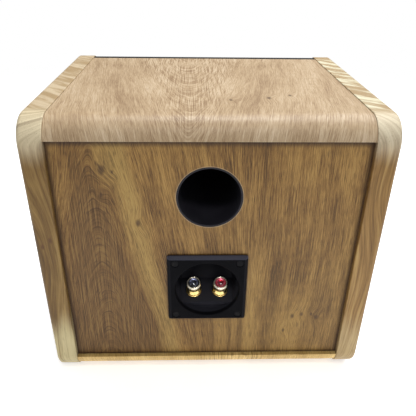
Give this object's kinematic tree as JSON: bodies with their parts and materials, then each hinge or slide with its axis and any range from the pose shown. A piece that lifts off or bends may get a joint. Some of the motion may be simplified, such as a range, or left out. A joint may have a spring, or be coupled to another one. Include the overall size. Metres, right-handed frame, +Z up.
{
  "type": "subwoofer cabinet",
  "caption": "Ported wooden subwoofer box with thick round-cornered cheeks, a wrapped veneered shell, a screw-post terminal cup in the back and a woofer behind a pull-off cloth grille.",
  "frame": {"origin": "on the floor under the middle of the box", "axes": "+Z up, -Y out of the grilled front, +Y out of the back with the port and the terminals, +X to the listener's right facing the grille"},
  "size_m": [0.33, 0.283, 0.296],
  "materials": {
    "cheek_wood": "oiled solid hardwood",
    "top_veneer": "satin oak veneer",
    "rear_veneer": "satin oak veneer",
    "black_board": "black stained fibreboard",
    "softwood": "sawn pine",
    "beech": "fluted beech",
    "wadding": "polyester wadding",
    "rubber": "matt black rubber",
    "foam": "closed-cell foam",
    "moulded_black": "satin moulded",
    "black_screw": "black oxide",
    "zinc_screw": "zinc plated",
    "gilt": "gold plated",
    "insert_black": "clear-coated black",
    "insert_red": "clear-coated red",
    "basket_paint": "black powder coat",
    "pulp": "black pressed pulp",
    "spider_cloth": "resin-dipped cotton",
    "former": "thin sheet",
    "copper": "enamelled copper wire",
    "motor_steel": "zinc plated",
    "ferrite": "ground ferrite",
    "board": "phenolic board",
    "white_nylon": "nylon",
    "film_can": "wrapped film",
    "wire_black": "PVC",
    "wire_red": "PVC",
    "grille_cloth": "knitted speaker cloth"
  },
  "bodies": {
    "root": {"cheek_left": "cheek_wood", "cheek_right": "cheek_wood", "top_panel": "top_veneer", "rear_panel": "rear_veneer", "bottom_panel": "rear_veneer", "baffle": "black_board", "cleat_left": "softwood", "cleat_right": "softwood", "brace": "softwood", "dowels": "beech", "damping_pad": "wadding", "foot_front_left": "rubber", "foot_front_right": "rubber", "foot_rear_left": "rubber", "foot_rear_right": "rubber", "surround": "rubber", "terminal_gasket": "foam", "port_tube": "moulded_black", "terminal_cup": "moulded_black", "peg_sockets": "moulded_black", "woofer_ring": "moulded_black", "terminal_screws": "black_screw", "woofer_screws": "black_screw", "foot_screws": "zinc_screw", "crossover_screws": "zinc_screw", "post_black": "gilt", "post_red": "gilt", "post_nut_black": "gilt", "post_nut_red": "gilt", "solder_tag_black": "gilt", "solder_tag_red": "gilt", "woofer_basket": "basket_paint", "spider": "spider_cloth", "inductor_winding": "copper", "top_plate": "motor_steel", "yoke": "motor_steel", "magnet": "ferrite", "crossover_board": "board", "woofer_terminals": "board", "crossover_standoffs": "white_nylon", "inductor_bobbin": "white_nylon", "capacitor": "film_can", "wire_terminal_black": "wire_black", "wire_woofer_black": "wire_black", "wire_terminal_red": "wire_red", "wire_woofer_red": "wire_red"},
    "woofer_cone": {"cone": "pulp", "dust_cap": "pulp", "coil_former": "former", "voice_coil": "copper"},
    "grille": {"grille_frame": "black_board", "grille_cloth": "grille_cloth", "grille_pegs": "moulded_black"},
    "black_clamp": {"clamp_washer_black": "gilt"},
    "black_cap": {"cap_black": "gilt", "cap_insert_black": "insert_black"},
    "red_clamp": {"clamp_washer_red": "gilt"},
    "red_cap": {"cap_red": "gilt", "cap_insert_red": "insert_red"}
  },
  "joints": [
    {"name": "cone_travel", "type": "slide", "parent": "root", "child": "woofer_cone", "axis": [0, -1, 0], "range_m": [-0.005, 0.005], "stiffness_N_per_m": 2500, "deforming": ["surround", "spider"]},
    {"name": "grille_pull", "type": "slide", "parent": "root", "child": "grille", "axis": [0, -1, 0], "range_m": [0, 0.045]},
    {"name": "black_clamp_rise", "type": "slide", "parent": "root", "child": "black_clamp", "axis": [0, 0.4695, 0.8829], "range_m": [0, 0.0049]},
    {"name": "black_cap_turn", "type": "hinge", "parent": "black_clamp", "child": "black_cap", "pos_m": [0.0154, 0.12502, 0.1047], "axis": [0, 0.4695, 0.8829], "range_deg": [0, 2160]},
    {"name": "red_clamp_rise", "type": "slide", "parent": "root", "child": "red_clamp", "axis": [0, 0.4695, 0.8829], "range_m": [0, 0.0049]},
    {"name": "red_cap_turn", "type": "hinge", "parent": "red_clamp", "child": "red_cap", "pos_m": [-0.012, 0.12502, 0.1047], "axis": [0, 0.4695, 0.8829], "range_deg": [0, 2160]}
  ],
  "couplings": [
    {"joint": "black_clamp_rise", "follows": "black_cap_turn", "m_per_rad": 0.00012732},
    {"joint": "red_clamp_rise", "follows": "red_cap_turn", "m_per_rad": 0.00012732}
  ]
}
